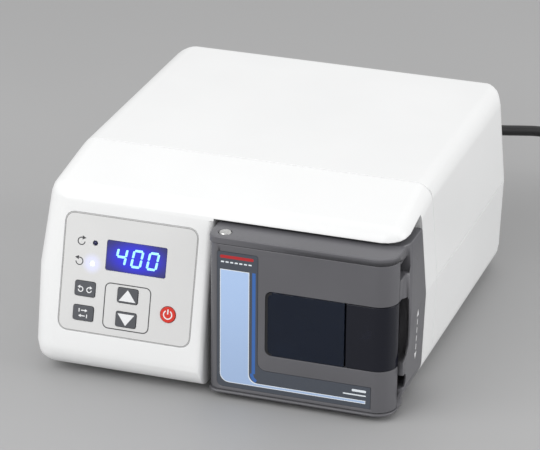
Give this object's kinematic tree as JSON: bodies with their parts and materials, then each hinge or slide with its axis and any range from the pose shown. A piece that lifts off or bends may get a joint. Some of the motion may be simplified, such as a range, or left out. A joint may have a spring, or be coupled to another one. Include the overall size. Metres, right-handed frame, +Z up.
{
  "type": "peristaltic tubing pump",
  "caption": "Bench-top peristaltic pump: sloping white case with keypad and display, hinged roller-head door, rollers, gears, motor and mains lead.",
  "frame": {"origin": "centre of the pump's footprint, on the bench under its feet, without the mains lead", "axes": "+Z up; -Y towards the user, out of the keypad side; +X to the pump head's side"},
  "size_m": [0.399, 0.3748, 0.1216],
  "materials": {
    "white_shell": "satin, fine grain",
    "rear_panel": "powder coated",
    "feet": "matte",
    "screws": "zinc plated",
    "overlay": "printed film",
    "display_window": "tinted, glossy",
    "display_body": "moulded",
    "lamp_dark": "unlit blue lens",
    "lamp_lit": "lit blue lens",
    "key_grey": "moulded, fine grain",
    "key_red": "moulded",
    "circuit_board": "solder mask",
    "head_grey": "moulded, fine grain",
    "label": "printed film",
    "smoked_window": "clear tinted acrylic",
    "handle_black": "glossy",
    "steel": "turned",
    "bed_grey": "moulded",
    "black_plastic": "moulded",
    "roller_white": "turned acetal",
    "cast_aluminium": "machined",
    "gear_nylon": "moulded nylon",
    "motor_black": "black paint",
    "plated_steel": "zinc plated sheet",
    "supply_case": "folded sheet",
    "socket_shell": "plated",
    "cord_rubber": "satin"
  },
  "bodies": {
    "case": {"front_bezel": "white_shell", "top_cover": "white_shell", "base_tray": "white_shell", "rear_panel": "rear_panel", "foot_front_left": "feet", "foot_front_right": "feet", "foot_rear_left": "feet", "foot_rear_right": "feet", "case_screw_front_left": "screws", "case_screw_front_right": "screws", "case_screw_rear_left": "screws", "case_screw_rear_right": "screws", "keypad_overlay": "overlay", "display_window": "display_window", "display_module": "display_body", "led_clockwise": "lamp_dark", "led_counterclockwise": "lamp_lit", "control_board": "circuit_board", "head_housing": "head_grey", "hinge_pin": "steel", "latch_strike": "steel", "bearing_front": "steel", "bearing_rear": "steel", "power_inlet": "black_plastic", "bearing_housing": "cast_aluminium", "motor": "motor_black", "motor_bracket": "plated_steel", "power_supply": "supply_case", "remote_socket": "socket_shell", "cord_connector": "cord_rubber", "cord_run": "cord_rubber", "cord_tail": "cord_rubber", "cord_coil": "cord_rubber", "mains_plug": "cord_rubber"},
    "door": {"pump_door": "head_grey", "door_window": "smoked_window", "door_label": "label", "latch_pin": "steel"},
    "latch": {"latch_handle": "handle_black"},
    "bed": {"occlusion_bed": "bed_grey"},
    "rotor": {"rotor_front_disc": "black_plastic", "rotor_rear_disc": "black_plastic", "rotor_hub_cap": "steel", "rotor_shaft": "steel", "roller_pin_1": "steel", "roller_pin_2": "steel", "roller_pin_3": "steel", "drive_gear": "gear_nylon"},
    "roller_one": {"roller_1": "roller_white"},
    "roller_two": {"roller_2": "roller_white"},
    "roller_three": {"roller_3": "roller_white"},
    "pinion": {"motor_pinion": "steel", "motor_shaft": "steel"},
    "clamp_upper": {"tube_clamp_upper": "black_plastic"},
    "clamp_lower": {"tube_clamp_lower": "black_plastic"},
    "key_direction_body": {"key_direction": "key_grey"},
    "key_int_ext_body": {"key_int_ext": "key_grey"},
    "key_up_body": {"key_up": "key_grey"},
    "key_down_body": {"key_down": "key_grey"},
    "key_power_body": {"key_power": "key_red"}
  },
  "joints": [
    {"name": "door_hinge", "type": "hinge", "parent": "case", "child": "door", "pos_m": [0.006, -0.1145, 0.053], "axis": [0, 0, -1], "range_deg": [0, 100]},
    {"name": "latch_pivot", "type": "hinge", "parent": "door", "child": "latch", "pos_m": [0.097, -0.1172, 0.053], "axis": [0, 0, -1], "range_deg": [0, 12], "stiffness_Nm_per_rad": 0.25},
    {"name": "bed_slide", "type": "slide", "parent": "case", "child": "bed", "axis": [-1, 0, 0], "range_m": [0, 0.004]},
    {"name": "rotor_spin", "type": "hinge", "parent": "case", "child": "rotor", "pos_m": [0.0545, -0.105, 0.0525], "axis": [0, 1, 0], "continuous": true},
    {"name": "pinion_spin", "type": "hinge", "parent": "case", "child": "pinion", "pos_m": [0.017, -0.04, 0.0525], "axis": [0, 1, 0], "continuous": true},
    {"name": "roller_one_spin", "type": "hinge", "parent": "rotor", "child": "roller_one", "pos_m": [0.06875, -0.105, 0.07718], "axis": [0, 1, 0], "continuous": true},
    {"name": "roller_two_spin", "type": "hinge", "parent": "rotor", "child": "roller_two", "pos_m": [0.026, -0.105, 0.0525], "axis": [0, 1, 0], "continuous": true},
    {"name": "roller_three_spin", "type": "hinge", "parent": "rotor", "child": "roller_three", "pos_m": [0.06875, -0.105, 0.02782], "axis": [0, 1, 0], "continuous": true},
    {"name": "tube_clamp_upper_slide", "type": "slide", "parent": "case", "child": "clamp_upper", "axis": [0, 0, -1], "range_m": [0, 0.003], "stiffness_N_per_m": 250},
    {"name": "tube_clamp_lower_slide", "type": "slide", "parent": "case", "child": "clamp_lower", "axis": [0, 0, 1], "range_m": [0, 0.003], "stiffness_N_per_m": 250},
    {"name": "key_direction_press", "type": "slide", "parent": "case", "child": "key_direction_body", "axis": [0, 0.9686, -0.2487], "range_m": [0, 0.0005], "stiffness_N_per_m": 600},
    {"name": "key_int_ext_press", "type": "slide", "parent": "case", "child": "key_int_ext_body", "axis": [0, 0.9686, -0.2487], "range_m": [0, 0.0005], "stiffness_N_per_m": 600},
    {"name": "key_up_press", "type": "slide", "parent": "case", "child": "key_up_body", "axis": [0, 0.9686, -0.2487], "range_m": [0, 0.0005], "stiffness_N_per_m": 600},
    {"name": "key_down_press", "type": "slide", "parent": "case", "child": "key_down_body", "axis": [0, 0.9686, -0.2487], "range_m": [0, 0.0005], "stiffness_N_per_m": 600},
    {"name": "key_power_press", "type": "slide", "parent": "case", "child": "key_power_body", "axis": [0, 0.9686, -0.2487], "range_m": [0, 0.0005], "stiffness_N_per_m": 600}
  ],
  "couplings": [
    {"joint": "bed_slide", "follows": "door_hinge", "m_per_rad": 0.0022918},
    {"joint": "pinion_spin", "follows": "rotor_spin", "ratio": -4},
    {"joint": "roller_one_spin", "follows": "rotor_spin", "ratio": -4.5625},
    {"joint": "roller_two_spin", "follows": "rotor_spin", "ratio": -4.5625},
    {"joint": "roller_three_spin", "follows": "rotor_spin", "ratio": -4.5625}
  ]
}
